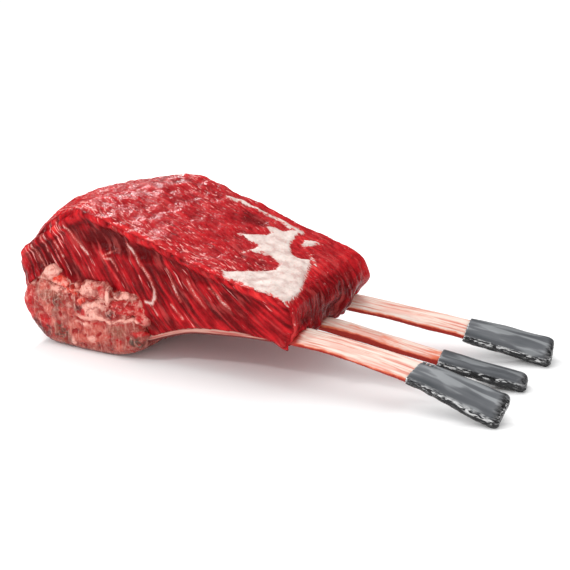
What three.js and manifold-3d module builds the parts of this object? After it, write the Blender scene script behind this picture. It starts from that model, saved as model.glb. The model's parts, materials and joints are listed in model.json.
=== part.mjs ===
// A raw three-rib beef roast with long, cleaned rib bones, lying on its chine and on its bone tips.
// Millimetres. X runs along the ribs towards their tips, Y across the ribs, Z is up.
import * as THREE from 'three';
import { mergeVertices } from 'three/addons/utils/BufferGeometryUtils.js';
import Module from 'manifold-3d';

const wasm = await Module();
wasm.setup();

// ---- driving dimensions ----
const DEPTH = 146; // across the three ribs, from the near cut face to the far one
const EDGE_ROUND = 5; // rounding round the two cut faces
const FLOOR = 0;
const TOUCH = 0.3; // clearance between pieces that touch

// The outline of the meat, counter-clockwise from the nose: where each point of it lies at the near
// and at the far cut face, as [x, z], and how far it stands out of the straight line between them.
const MEAT_OUTLINE = [
  { near: [-256, 75], far: [-264, 80], swell: [-4, -1] }, // nose, the blunt end over the chine
  { near: [-252, 59], far: [-254, 57], swell: [-2, 0] },
  { near: [-215, 34], far: [-215, 32], swell: [0, 0] }, // hidden in the chine
  { near: [-160, 24], far: [-160, 22], swell: [0, 0] },
  { near: [-114, 19], far: [-114, 18], swell: [0, 0] },
  { near: [-94, 23], far: [-94, 21], swell: [0, 0] }, // the arch under the ribs
  { near: [-62, 36], far: [-62, 32], swell: [0, 0] },
  { near: [-28, 41], far: [-28, 36], swell: [0, 0] },
  { near: [16, 43], far: [20, 37], swell: [0, 0] },
  { near: [41, 44], far: [48, 39], swell: [1, 0] }, // foot of the end face
  { near: [44, 62], far: [58, 58], swell: [1, 0] },
  { near: [41, 80], far: [55, 74], swell: [1, 1] }, // upper edge of the end face
  { near: [26, 87], far: [46, 87], swell: [0, 1] },
  { near: [-11, 92], far: [19, 99.5], swell: [0, 1] }, // the sloping top
  { near: [-56, 104], far: [-20, 110], swell: [0, 1] },
  { near: [-96, 117], far: [-60, 124], swell: [0, 1] },
  { near: [-137, 128], far: [-106, 139], swell: [0, 0] },
  { near: [-168, 138], far: [-143, 146.5], swell: [0, 0] }, // crown
  { near: [-183, 136], far: [-188, 136], swell: [-1, 6] },
  { near: [-207, 120], far: [-228, 126], swell: [-4, 11] }, // the round back
  { near: [-233, 99], far: [-252, 107], swell: [-6, 5] },
];
const SWELL_PLACE = 0.6; // below 1 the swelling is fullest before the middle of the depth

// what is left of the backbone, under the nose
const CHINE_LEFT = -248;
const CHINE_RIGHT = -104;
const CHINE_TOP = 62;
const CHINE_LUMP = 2.2; // how uneven its outline is along its length
const CHINE_NEAR_PROUD = 8; // how far it stands out of the near cut face
const CHINE_FAR_PROUD = 3;
const CHINE_ROUND = 9; // rounding of its ends

const BONE_THICK = 9.5;
const BONE_WAIST = 2; // how much narrower a bone is half-way along
const WRAP_TIP = 6; // closed end of a wrap, past the tip of its bone

// each rib: its route from the chine to its tip, and its width and roll at the chine and at the tip;
// its wrap: where it starts and how slanting its collar is, and its width, thickness and roll at the
// collar and at the closed end
const RIBS = [
  {
    name: 'near',
    route: [
      [-114, -60, 22], [-62, -61, 41], [0, -61, 47.5],
      [47, -56, 47.5], [148, -46, 31], [220, -42, 10.45],
    ],
    width: [26, 30],
    roll: [17, 26],
    wrap: { from: 0.782, slant: 6, width: [28, 34.5], thick: [12.5, 13], roll: [19, 28] },
  },
  {
    name: 'middle',
    route: [
      [-114, -6, 19], [-62, -5, 36], [0, -4, 42],
      [49, -2, 40.5], [149, 12, 22.5], [217, 33, 6.25],
    ],
    width: [25, 21],
    roll: [3, 1],
    wrap: { from: 0.79, slant: 2, width: [25, 24.5], thick: [12, 12], roll: [2, 1] },
  },
  {
    name: 'far',
    route: [
      [-114, 54, 18], [-62, 58, 36], [0, 60, 42],
      [48, 62, 41], [147, 85, 25], [220, 104, 9.6],
    ],
    width: [28, 31],
    roll: [13, 15],
    wrap: { from: 0.785, slant: 3, width: [31, 37], thick: [13.5, 14.5], roll: [14, 15] },
  },
];

const finish = (color, roughness) => new THREE.MeshStandardMaterial({ color, roughness, metalness: 0 });
const FLESH = finish(0x9e1a20, 0.4);
const BACKBONE = finish(0xc9927a, 0.55);
const BONE = finish(0xead2c0, 0.5);
const FOIL = finish(0x46494d, 0.35);

// how finely the bodies are cut into facets
const MEAT_SIDES = 72;
const CHINE_SIDES = 36;
const BONE_SIDES = 14;
const WRAP_SIDES = 16;
const RIM_STEPS = 3;
const BONE_STEPS = 26;
const WRAP_STEPS = 7;
const DEPTH_STEPS = 10;

// ---- helpers ----
const mix = THREE.MathUtils.lerp;
const smooth = THREE.MathUtils.smoothstep;
const radians = THREE.MathUtils.degToRad;

// A closed smooth outline through a few points, given counter-clockwise.
function smoothOutline(points, count) {
  const corners = points.map(([x, z]) => new THREE.Vector3(x, z, 0));
  const curve = new THREE.CatmullRomCurve3(corners, true, 'centripetal');
  return curve.getSpacedPoints(count).slice(0, count).map(({ x, y }) => new THREE.Vector2(x, y));
}

// The same outline moved inwards by a distance, or outwards where it is negative.
function inset(outline, distance) {
  return outline.map((point, i) => {
    const before = outline[(i + outline.length - 1) % outline.length];
    const after = outline[(i + 1) % outline.length];
    const along = after.clone().sub(before).normalize();
    return new THREE.Vector2(point.x - along.y * distance, point.y + along.x * distance);
  });
}

// A squarish oval section.
function oval(width, thick, sides, grow = 0) {
  const corner = (value) => Math.sign(value) * Math.abs(value) ** 0.8;
  return Array.from({ length: sides }, (_, i) => {
    const turn = (i / sides) * 2 * Math.PI;
    return new THREE.Vector2(
      (width / 2 + grow) * corner(Math.cos(turn)),
      (thick / 2 + grow) * corner(Math.sin(turn)),
    );
  });
}

// A closed body through a row of sections, each an outline and the matrix that places it.
function loft(sections) {
  const count = sections[0].outline.length;
  const positions = [];
  const index = [];
  for (const { outline, place } of sections) {
    for (const { x, y } of outline) {
      positions.push(...new THREE.Vector3(x, y, 0).applyMatrix4(place).toArray());
    }
  }
  for (let k = 0; k < sections.length - 1; k += 1) {
    for (let i = 0; i < count; i += 1) {
      const a = k * count + i;
      const b = k * count + ((i + 1) % count);
      index.push(a, b, b + count, a, b + count, a + count);
    }
  }
  for (const end of [0, sections.length - 1]) {
    for (const [a, b, c] of THREE.ShapeUtils.triangulateShape(sections[end].outline, [])) {
      const corners = end === 0 ? [a, c, b] : [a, b, c];
      index.push(...corners.map((corner) => corner + end * count));
    }
  }
  const geometry = new THREE.BufferGeometry();
  geometry.setAttribute('position', new THREE.Float32BufferAttribute(positions, 3));
  geometry.setIndex(index);
  return geometry;
}

function toSolid(geometry) {
  const merged = mergeVertices(geometry);
  const vertProperties = new Float32Array(merged.attributes.position.array);
  const triVerts = new Uint32Array(merged.index.array);
  return new wasm.Manifold(new wasm.Mesh({ numProp: 3, vertProperties, triVerts }));
}

function toMesh(name, solid, material) {
  const { vertProperties, triVerts } = solid.getMesh();
  const geometry = new THREE.BufferGeometry();
  geometry.setAttribute('position', new THREE.BufferAttribute(new Float32Array(vertProperties), 3));
  geometry.setIndex(new THREE.BufferAttribute(new Uint32Array(triVerts), 1));
  geometry.computeVertexNormals();
  const mesh = new THREE.Mesh(geometry, material);
  mesh.name = name;
  return mesh;
}

const subtractAll = (solid, tools) => tools.reduce((rest, tool) => rest.subtract(tool), solid);

// ---- bodies across the ribs ----
// A section in the XZ plane; the loft runs from the far face towards -Y.
const sectionAt = (y) => new THREE.Matrix4().makeBasis(
  new THREE.Vector3(1, 0, 0),
  new THREE.Vector3(0, 0, 1),
  new THREE.Vector3(0, -1, 0),
).setPosition(0, y, 0);

// The body between two cut faces, with rounded rims.
// Grown, it is the hollow that takes the body: square at the rims and larger all round.
function acrossBody(outlineAt, nearY, farY, round, grow = 0) {
  const rim = Array.from({ length: RIM_STEPS }, (_, k) => {
    const turn = ((k / RIM_STEPS) * Math.PI) / 2;
    return { in: round * (1 - Math.cos(turn)), cut: round * (1 - Math.sin(turn)) };
  });
  const places = [
    ...rim.map((step) => ({ y: farY - step.in, cut: step.cut })),
    ...Array.from({ length: DEPTH_STEPS + 1 }, (_, k) => (
      { y: mix(farY - round, nearY + round, k / DEPTH_STEPS), cut: 0 }
    )),
    ...rim.reverse().map((step) => ({ y: nearY + step.in, cut: step.cut })),
  ];
  return toSolid(loft(places.map(({ y, cut }) => ({
    outline: inset(outlineAt(y / DEPTH + 0.5), grow > 0 ? -grow : cut),
    place: sectionAt(y),
  }))));
}

// The outline of the meat; share goes from 0 at the near cut face to 1 at the far one.
function meatOutline(share) {
  const inside = THREE.MathUtils.clamp(share, 0, 1);
  const fullness = Math.sin(inside ** SWELL_PLACE * Math.PI);
  return smoothOutline(MEAT_OUTLINE.map(({ near, far, swell }) => [0, 1].map((axis) => (
    mix(near[axis], far[axis], inside) + swell[axis] * fullness
  ))), MEAT_SIDES);
}

// The outline of the chine, which rests flat on the floor.
function chineOutline(share) {
  const lump = (waves, start) => CHINE_LUMP * Math.sin(share * waves * Math.PI + start);
  const outline = smoothOutline([
    [CHINE_LEFT + lump(5, 0), 36],
    [-234 + lump(6, 2), 13],
    [-219, 2],
    [-205, FLOOR],
    [-175, FLOOR],
    [-150, FLOOR],
    [-134, 2],
    [CHINE_RIGHT - 9, 10],
    [CHINE_RIGHT + lump(4, 1), 26],
    [CHINE_RIGHT - 8, 40 + lump(5, 4)],
    [-135, 49],
    [-165, CHINE_TOP - 7 + lump(6, 3)],
    [-198, CHINE_TOP - 1 + lump(7, 0)],
    [-230, CHINE_TOP + lump(5, 2)],
    [CHINE_LEFT + 2 + lump(6, 1), 52],
  ], CHINE_SIDES);
  return outline.map(({ x, y }) => new THREE.Vector2(x, Math.max(y, FLOOR)));
}

// ---- ribs and their wraps ----
// The frame of a rib at a share of its length, rolled about its own route.
function ribPlace(route, along, roll) {
  const forward = route.getTangentAt(along);
  const across = new THREE.Vector3(0, Math.cos(radians(roll)), Math.sin(radians(roll)));
  const up = forward.clone().cross(across).normalize();
  const width = up.clone().cross(forward);
  return new THREE.Matrix4().makeBasis(width, up, forward).setPosition(route.getPointAt(along));
}

const routeOf = (rib) => new THREE.CatmullRomCurve3(rib.route.map((point) => new THREE.Vector3(...point)));

// The bone is a little waisted and widens to its tip.
// Grown, it is the hollow that takes the bone.
function ribSolid(rib, grow = 0) {
  const route = routeOf(rib);
  const sections = Array.from({ length: BONE_STEPS + 1 }, (_, k) => {
    const along = k / BONE_STEPS;
    const width = mix(rib.width[0], rib.width[1], smooth(along, 0.6, 1))
      - BONE_WAIST * Math.sin(along * Math.PI);
    const roll = mix(rib.roll[0], rib.roll[1], smooth(along, 0.5, 1));
    const place = ribPlace(route, along, roll);
    const push = k === 0 ? -grow : k === BONE_STEPS ? grow : 0;
    place.multiply(new THREE.Matrix4().makeTranslation(0, 0, push));
    return { outline: oval(width, BONE_THICK, BONE_SIDES, grow), place };
  });
  return toSolid(loft(sections));
}

// A folded sleeve over the tip, cut on the slant at its collar and closed, rounded, at its end.
function wrapSolid(rib) {
  const route = routeOf(rib);
  const { from, slant, width, thick, roll } = rib.wrap;
  const section = (share, cut, past) => {
    const place = ribPlace(route, mix(from, 1, share), mix(roll[0], roll[1], share));
    const lean = (slant * (1 - share)) / width[0];
    place.multiply(new THREE.Matrix4().set(1, 0, 0, 0, 0, 1, 0, 0, lean, 0, 1, past, 0, 0, 0, 1));
    return {
      outline: oval(
        mix(width[0], width[1], share) - 2 * cut,
        mix(thick[0], thick[1], share) - 2 * cut,
        WRAP_SIDES,
      ),
      place,
    };
  };
  const sleeve = Array.from({ length: WRAP_STEPS + 1 }, (_, k) => section(k / WRAP_STEPS, 0, 0));
  const end = [section(1, 0.3, WRAP_TIP * 0.4), section(1, 1.2, WRAP_TIP * 0.75), section(1, 3, WRAP_TIP)];
  return toSolid(loft([...sleeve, ...end]));
}

// ---- assembly ----
const roast = new THREE.Group();

const boneCuts = RIBS.map((rib) => ribSolid(rib, TOUCH));
const nearFace = -DEPTH / 2;
const farFace = DEPTH / 2;
const chineEnds = [nearFace - CHINE_NEAR_PROUD, farFace + CHINE_FAR_PROUD];
const chine = acrossBody(chineOutline, ...chineEnds, CHINE_ROUND);
const chineCut = acrossBody(chineOutline, ...chineEnds, CHINE_ROUND, TOUCH);
const meat = acrossBody(meatOutline, nearFace, farFace, EDGE_ROUND);

roast.add(toMesh('meat', subtractAll(meat, [chineCut, ...boneCuts]), FLESH));
roast.add(toMesh('chine_bone', subtractAll(chine, boneCuts), BACKBONE));
RIBS.forEach((rib, i) => {
  roast.add(toMesh(`rib_${rib.name}`, ribSolid(rib), BONE));
  roast.add(toMesh(`wrap_${rib.name}`, wrapSolid(rib).subtract(boneCuts[i]), FOIL));
});

// the origin is on the floor, under the middle of the whole roast
const bounds = new THREE.Box3().setFromObject(roast);
const middle = bounds.getCenter(new THREE.Vector3());
roast.position.set(-middle.x, -middle.y, -bounds.min.z);

export default roast;
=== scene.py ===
import itertools
import json
import math

import bpy
import numpy as np
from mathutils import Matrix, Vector
from mathutils.bvhtree import BVHTree

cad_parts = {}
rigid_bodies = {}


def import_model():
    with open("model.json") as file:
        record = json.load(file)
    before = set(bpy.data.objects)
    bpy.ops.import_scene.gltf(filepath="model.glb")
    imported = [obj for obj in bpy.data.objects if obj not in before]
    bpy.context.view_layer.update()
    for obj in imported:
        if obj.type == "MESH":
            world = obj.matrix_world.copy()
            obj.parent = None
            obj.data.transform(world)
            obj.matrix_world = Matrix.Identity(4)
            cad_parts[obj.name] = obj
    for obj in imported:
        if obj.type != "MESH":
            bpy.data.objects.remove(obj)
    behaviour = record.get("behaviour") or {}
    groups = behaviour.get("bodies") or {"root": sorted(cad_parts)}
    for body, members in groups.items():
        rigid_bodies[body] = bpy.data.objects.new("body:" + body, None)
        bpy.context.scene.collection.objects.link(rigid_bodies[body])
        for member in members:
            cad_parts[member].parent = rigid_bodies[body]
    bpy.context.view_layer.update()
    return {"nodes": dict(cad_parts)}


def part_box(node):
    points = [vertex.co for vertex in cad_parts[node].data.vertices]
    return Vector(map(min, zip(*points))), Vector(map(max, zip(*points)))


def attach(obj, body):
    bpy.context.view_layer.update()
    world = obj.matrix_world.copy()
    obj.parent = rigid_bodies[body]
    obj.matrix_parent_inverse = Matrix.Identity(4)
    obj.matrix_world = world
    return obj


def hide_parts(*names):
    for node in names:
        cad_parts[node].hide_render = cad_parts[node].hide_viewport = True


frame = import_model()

# A raw three-rib beef roast with long scraped bones and dark sleeves over their tips.
# X runs along the ribs to their tips, Y across the ribs, Z is up. Shaping is done in millimetres.
MM = 0.001

NEAR_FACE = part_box("meat")[0][1] / MM
# each rib, how far along X its bone comes out of the flesh, and the painted light on its side:
# higher is lighter, below 0 is painted shade
RIBS = (("near", 59, 0.75), ("middle", 54, -0.12), ("far", 50, 0.35))
RIB_NODES = [f"rib_{rib}" for rib, _, _ in RIBS]

# how finely each piece is meshed
MEAT_CELL = 1.45
CHINE_CELL = 1.2
BONE_CELL = 1.1
SLEEVE_CELL = 0.75
OUTSIDE = -12.0  # how far outside any drawing a place counts as where none is drawn

# ---- drawings on the near cut face, as [x, z] ----
RIDGE = [
    (-240, 84), (-216, 96), (-195, 109), (-171, 125), (-152, 135), (-137, 131), (-120, 127),
    (-100, 121), (-79, 115), (-59, 109), (-39, 103), (-22, 98), (6, 91), (34, 86), (56, 82),
]
# what of the backbone's fat and membranes lies on the near cut face
CHINE_FAT = [
    (-226, 30), (-216, 50), (-208, 66), (-201, 75), (-192, 78), (-184, 72), (-176, 71), (-166, 66),
    (-158, 70), (-146, 71), (-136, 67), (-131, 73), (-124, 66), (-118, 66), (-106, 66), (-96, 64),
    (-90, 54), (-84, 42), (-88, 30), (-100, 20), (-104, 0), (-226, 0),
]
# the tints of fat, membrane and sawn bone
PEARL = (0.72, 0.34, 0.28)
BLUSH = (0.44, 0.085, 0.062)
MEMBRANE = (0.27, 0.052, 0.040)
AMBER = (0.62, 0.035, 0.014)
SCARLET = (0.42, 0.008, 0.010)
BLOOD = (0.07, 0.002, 0.003)
TAN = (0.24, 0.065, 0.043)
BROWN = (0.095, 0.022, 0.014)
MOSS = (0.055, 0.032, 0.022)
# rounded lumps of fat and gristle on its near side: middle, then reach in x, y and z
CHINE_LUMPS = [
    ((-194, -92, 72), (11, 6, 7)),
    ((-203, -93, 63), (7, 6, 6)),
    ((-184, -93, 66), (6, 5, 5)),
    ((-177, -95, 64), (5, 5, 4.5)),
    ((-170, -95, 59), (5.5, 5.5, 5)),
    ((-164, -96, 54), (4, 4.5, 4)),
    ((-175, -97, 56), (4, 4, 4)),
    ((-162, -94, 65), (5, 5, 4)),
    ((-150, -93, 62), (11, 7, 9)),
    ((-141, -94, 67), (5, 5, 5)),
    ((-134, -94, 63), (4.5, 6, 9)),
    ((-127, -95, 59), (3, 5, 10)),
    ((-116, -94, 61), (7, 4.5, 3.5)),
    ((-105, -93, 61), (8, 4.5, 3.5)),
    ((-96, -93, 55), (5, 4, 5)),
    ((-112, -95, 51), (14, 6, 7)),
    ((-92, -94, 40), (9, 5, 6)),
    ((-212, -90, 62), (7, 6, 6)),
    ((-221, -96, 40), (10, 4, 2.6)),
    ((-217, -95, 41), (7, 5, 3.5)),
    ((-207, -98, 30), (6, 6, 5)),
    ((-190, -99, 35), (7, 6, 6)),
]
# lumps and patches round the backbone, as x, z, reach in x and z, rise and tint
CHINE_PATCHES = [
    (-150, 40, 120, 60, 0.0, MEMBRANE),
    (-222, 40, 11, 26, 0.0, SCARLET),
    (-208, 14, 15, 13, 0.0, BLOOD),
    (-194, 50, 17, 17, 1.0, TAN),
    (-204, 44, 6, 6, 1.2, BLUSH),
    (-196, 37, 6, 5, 1.2, BLUSH),
    (-188, 60, 8, 5, 0.8, PEARL),
    (-200, 60, 6, 5, 0.8, BLUSH),
    (-186, 44, 5, 7, 0.8, BROWN),
    (-192, 26, 7, 5, 0.8, BLUSH),
    (-193, 73, 9, 5.5, 3.0, PEARL),
    (-177, 66, 4.5, 4.0, 2.0, AMBER),
    (-170, 60, 5.0, 4.5, 2.2, AMBER),
    (-176, 57, 3.5, 3.5, 1.6, BLUSH),
    (-165, 57, 4.0, 4.0, 1.6, AMBER),
    (-157, 51, 4.5, 3.5, 1.2, AMBER),
    (-186, 66, 6.0, 3.5, 0.8, AMBER),
    (-179, 61, 3.0, 3.0, 1.6, PEARL),
    (-163, 64, 4.0, 4.0, 1.4, BLUSH),
    (-149, 62, 10, 8.5, 3.0, PEARL),
    (-152, 57, 5.5, 4.0, 0.8, BLUSH),
    (-141, 67, 4.0, 4.0, 1.0, BLUSH),
    (-134, 64, 4.5, 8.5, 1.6, SCARLET),
    (-151, 41, 16, 6.5, 0.6, PEARL),
    (-160, 44, 6.5, 4.0, -0.6, BLOOD),
    (-156, 41, 5.0, 3.0, 0.0, SCARLET),
    (-142, 49, 10, 4.0, 1.6, PEARL),
    (-128, 58, 3.0, 10, 1.4, PEARL),
    (-117, 70, 8.0, 5.5, 0.0, BLOOD),
    (-111, 62, 10, 2.0, 1.2, PEARL),
    (-121, 52, 2.2, 5.0, 0.6, PEARL),
    (-112, 51, 20, 8.5, 1.8, SCARLET),
    (-95, 49, 14, 11, 0.4, SCARLET),
    (-122, 44, 9.0, 3.0, 0.4, BLOOD),
    (-84, 48, 13, 9.0, 0.6, SCARLET),
    (-172, 38, 13, 3.5, 0.8, BLUSH),
    (-140, 37, 26, 2.4, 1.0, PEARL),
    (-106, 40, 20, 1.8, 0.8, PEARL),
    (-150, 22, 26, 14, 0.0, BLUSH),
    (-158, 29, 7.0, 3.0, 0.6, PEARL),
    (-146, 16, 6.0, 5.0, 0.6, PEARL),
    (-170, 10, 6.0, 6.0, 0.8, PEARL),
    (-180, 14, 10, 11, 0.8, BROWN),
    (-202, 26, 9.0, 8.0, 0.0, SCARLET),
    (-180, 8, 4.0, 3.5, 1.0, TAN),
    (-187, 20, 3.5, 3.5, 1.0, TAN),
    (-165, 20, 4.0, 2.2, -1.6, BLOOD),
    (-155, 8, 3.5, 2.0, -1.4, BLOOD),
    (-137, 11, 2.6, 3.6, -1.6, BLOOD),
    (-142, 30, 4.0, 1.6, -0.8, SCARLET),
    (-118, 28, 10, 7.0, 0.6, TAN),
    (-113, 15, 3.0, 4.0, -0.6, SCARLET),
    (-125, 19, 1.8, 13, -0.8, BLOOD),
    (-113, 12, 5.0, 4.0, 0.8, BLUSH),
    (-98, 21, 10, 5.5, -0.6, MOSS),
    (-90, 29, 14, 3.2, 0.6, SCARLET),
]
# hollows under its ridge: [middle x, z], [reach x, z], depth
HOLLOWS = [((-128, 113), (30, 13), 4.6), ((-92, 106), (36, 9), 3.0), ((-40, 92), (50, 8), 1.6)]
# white seams on the near cut face: [x, z, half of the width]
LONG_SEAM = [
    (-107, 112, 0.8), (-104, 108, 1.5), (-98, 102, 1.0), (-91, 93, 0.8), (-83, 84, 0.7),
    (-78, 74, 0.8), (-77, 67, 1.8), (-80, 60, 1.6), (-88, 60, 1.2),
]
CURVED_SEAM = [
    (-137, 100, 0.3), (-133, 95, 0.7), (-124, 96, 0.6), (-120, 90, 0.6), (-118, 85, 0.3),
]
SEAM_BRANCH = [(-133, 98, 0.4), (-120, 104, 0.2)]
PALE_STREAKS = [
    [(-219, 95, 0.9), (-202, 76, 0.5)],
    [(-205, 108, 0.9), (-199, 92, 0.4)],
    [(-190, 103, 0.4), (-180, 90, 0.6)],
    [(-176, 121, 0.5), (-151, 96, 0.9)],
    [(-65, 95, 0.3), (-56, 78, 0.8), (-50, 66, 0.4)],
    [(-44, 88, 0.4), (-32, 72, 0.8), (-24, 64, 0.3)],
    [(-84, 60, 0.3), (-74, 50, 0.6)],
    [(-60, 62, 0.4), (-48, 50, 0.7)],
    [(-20, 84, 0.4), (2, 68, 0.6)],
]

# ---- drawings on the top, as [x, y] ----
FAT_PATCH = [
    (-21, 15), (-14, 21), (-6, 21), (-2, 29), (5, 34), (7, 18), (9, 5), (18, -9), (26, -12),
    (37, -7), (43, -22), (48, -40), (55, -59), (57, -74), (57, -93), (49, -90), (31, -91),
    (5, -87), (-3, -90), (-12, -84), (-7, -80), (8, -63), (23, -47), (21, -35), (8, -30),
    (-2, -29), (-11, -34), (-15, -43), (-10, -28), (-9, -21), (-21, -17), (-34, -16), (-24, -8),
    (-15, 0), (-12, 9),
]
BACK_STRIP = [
    (-76, 33, 0.6), (-70, 33, 2.4), (-58, 36, 2.8), (-46, 37, 1.2), (-29, 37, 1.3), (-17, 37, 1.7),
    (-6, 35, 2.6), (6, 33, 3.0),
]
ISLAND = [(20, 15, 2.6), (21, 22, 4.4), (27, 27, 2.0)]
ISLAND_TAIL = [(33, 2, 0.6), (38, -4, 1.2), (45, -13, 0.5)]

# how the fibres lean on the near cut face: [x, degrees below level]
LEAN = [(-240, 56), (-120, 60), (-60, 52), (0, 40), (60, 33)]
# once round the meat, as [x, z], to measure along its skin
ROUND = [
    (-240, 76), (-222, 112), (-186, 138), (-140, 148), (-100, 136), (-30, 112), (36, 97), (62, 90),
    (66, 62), (58, 40), (-40, 39), (-100, 20), (-200, 24), (-240, 76),
]
# darker and brighter places: [centre x, y, z], [reach x, y, z], how much brighter; the first three
# are painted shade at the ridge of the near cut face
SHADES = [
    ((-128, -93, 113), (28, 18, 12), -0.75),
    ((-164, -93, 124), (13, 14, 11), -0.45),
    ((-95, -93, 106), (26, 14, 9), -0.50),
    ((-200, -93, 88), (24, 18, 14), -0.45),
    ((-100, -93, 76), (14, 14, 14), -0.25),
    ((4, -93, 72), (34, 14, 13), -0.40),
    ((42, -93, 62), (15, 12, 18), 0.50),
    ((14, -93, 66), (26, 14, 16), 0.45),
    ((-20, -93, 51), (60, 12, 5), 0.30),
    ((-124, -93, 80), (26, 12, 10), 0.25),
    ((-220, -93, 60), (12, 20, 22), -0.35),
    ((16, 8, 102), (9, 24, 14), 0.95),
    ((49, -32, 92), (6, 26, 10), 0.85),
    ((2, -52, 99), (22, 14, 14), -0.40),
    ((-38, 18, 116), (26, 12, 14), -0.50),
    ((66, -20, 60), (20, 70, 30), -1.15),
    ((54, 36, 88), (20, 22, 14), 0.15),
    ((-186, -40, 126), (50, 60, 30), 0.35),
    ((-110, -20, 138), (40, 70, 16), -0.10),
]
BRIGHTEST = 0.40  # the most that any place is brightened


# ---- measuring ----
def smooth_share(value, low, high):
    """0 below low, 1 above high and a smooth rise between."""
    share = np.clip((value - low) / (high - low), 0, 1)
    return share * share * (3 - 2 * share)


def lot(cells, seed):
    """A steady number from 0 to 1 for each whole-numbered cell."""
    x, y, z = cells.T
    mixed = (x * 73856093 ^ y * 19349663 ^ z * 83492791 ^ seed * 40503) & 0xFFFFFFFF
    mixed = ((mixed ^ mixed >> 15) * 2246822519) & 0xFFFFFFFF
    mixed = ((mixed ^ mixed >> 13) * 3266489917) & 0xFFFFFFFF
    return (mixed ^ mixed >> 16) / 0xFFFFFFFF


def lumps(places, size, seed):
    """Smooth unevenness from about -1 to 1; size is its lumps' spacing, one or one per axis."""
    spots = places / np.array(size, float)
    cells = np.floor(spots).astype(np.int64)
    inside = spots - cells
    ease = inside ** 3 * (inside * (inside * 6 - 15) + 10)
    total = np.zeros(len(places))
    for corner in itertools.product((0, 1), repeat=3):
        share = np.prod(np.where(corner, ease, 1 - ease), axis=1)
        slope = np.stack([lot(cells + corner, seed * 3 + axis) for axis in range(3)], 1) * 2 - 1
        total += share * ((inside - corner) * slope).sum(1)
    return total * 1.7


def knobs(places, size, seed):
    """Rounded knobs side by side, from 0 in the valleys to 1 on their tops."""
    spots = places / np.array(size, float)
    cells = np.floor(spots).astype(np.int64)
    nearest = np.full(len(places), 9.0)
    for step in itertools.product((-1, 0, 1), repeat=3):
        cell = cells + step
        middle = cell + np.stack([lot(cell, seed * 3 + axis) for axis in range(3)], 1)
        nearest = np.minimum(nearest, ((spots - middle) ** 2).sum(1))
    return np.clip(1 - nearest, 0, 1)


def strand(spots, route):
    """How far inside a strand each spot lies; the route gives its places and half widths."""
    route = np.array(route, float)
    best = np.full(len(spots), -30.0)
    for start, end in zip(route[:-1], route[1:]):
        line = end[:2] - start[:2]
        share = np.clip((spots - start[:2]) @ line / (line @ line), 0, 1)
        away = np.linalg.norm(spots - start[:2] - share[:, None] * line, axis=1)
        best = np.maximum(best, start[2] + share * (end[2] - start[2]) - away)
    return best


def patch(spots, outline):
    """How far inside a closed outline each spot lies, below 0 outside it."""
    corners = np.array(outline, float)
    closed = np.vstack([corners, corners[:1]])
    edge = -strand(spots, np.column_stack([closed, np.zeros(len(closed))]))
    x, y = spots.T
    inside = np.zeros(len(spots), bool)
    for (ax, ay), (bx, by) in zip(closed[:-1], closed[1:]):
        crosses = (ay > y) != (by > y)
        rise = by - ay if by != ay else 1.0
        inside ^= crosses & (x < ax + (y - ay) / rise * (bx - ax))
    return np.where(inside, edge, -edge)


def along_route(spots, route):
    """How far along a route the place nearest to each spot is, and how far away it is."""
    route = np.array(route, float)
    best = np.full(len(spots), 1e9)
    reached = np.zeros(len(spots))
    walked = 0.0
    for start, end in zip(route[:-1], route[1:]):
        line = end - start
        length = np.linalg.norm(line)
        share = np.clip((spots - start) @ line / length ** 2, 0, 1)
        away = np.linalg.norm(spots - start - share[:, None] * line, axis=1)
        closer = away < best
        best = np.where(closer, away, best)
        reached = np.where(closer, walked + share * length, reached)
        walked += length
    return reached, best


def gap_to(places, nodes):
    """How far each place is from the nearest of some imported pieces."""
    gaps = np.full(len(places), 1e9)
    for name in nodes:
        mesh = frame["nodes"][name].data
        corners = [v.co / MM for v in mesh.vertices]
        tree = BVHTree.FromPolygons(corners, [p.vertices[:] for p in mesh.polygons])
        gaps = np.minimum(gaps, [tree.find_nearest(Vector(place))[3] for place in places])
    return gaps


# ---- making pieces ----
def apply_modifier(piece, kind, **settings):
    """Adds a modifier, sets it and applies it."""
    bpy.ops.object.select_all(action="DESELECT")
    bpy.context.view_layer.objects.active = piece
    piece.select_set(True)
    modifier = piece.modifiers.new(kind.title(), kind)
    for setting, value in settings.items():
        setattr(modifier, setting, value)
    bpy.ops.object.modifier_apply(modifier=modifier.name)


def drop_specks(piece):
    """Deletes a remeshed piece's tiny loose bits: all that isn't joined to its highest vertex."""
    bpy.ops.object.mode_set(mode="EDIT")
    bpy.ops.mesh.select_mode(type="VERT")
    bpy.ops.mesh.select_all(action="DESELECT")
    bpy.ops.object.mode_set(mode="OBJECT")
    highest = max(piece.data.vertices, key=lambda vertex: vertex.co.z)
    highest.select = True
    bpy.ops.object.mode_set(mode="EDIT")
    bpy.ops.mesh.select_linked()
    bpy.ops.mesh.select_all(action="INVERT")
    bpy.ops.mesh.delete(type="VERT")
    bpy.ops.object.mode_set(mode="OBJECT")


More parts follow.
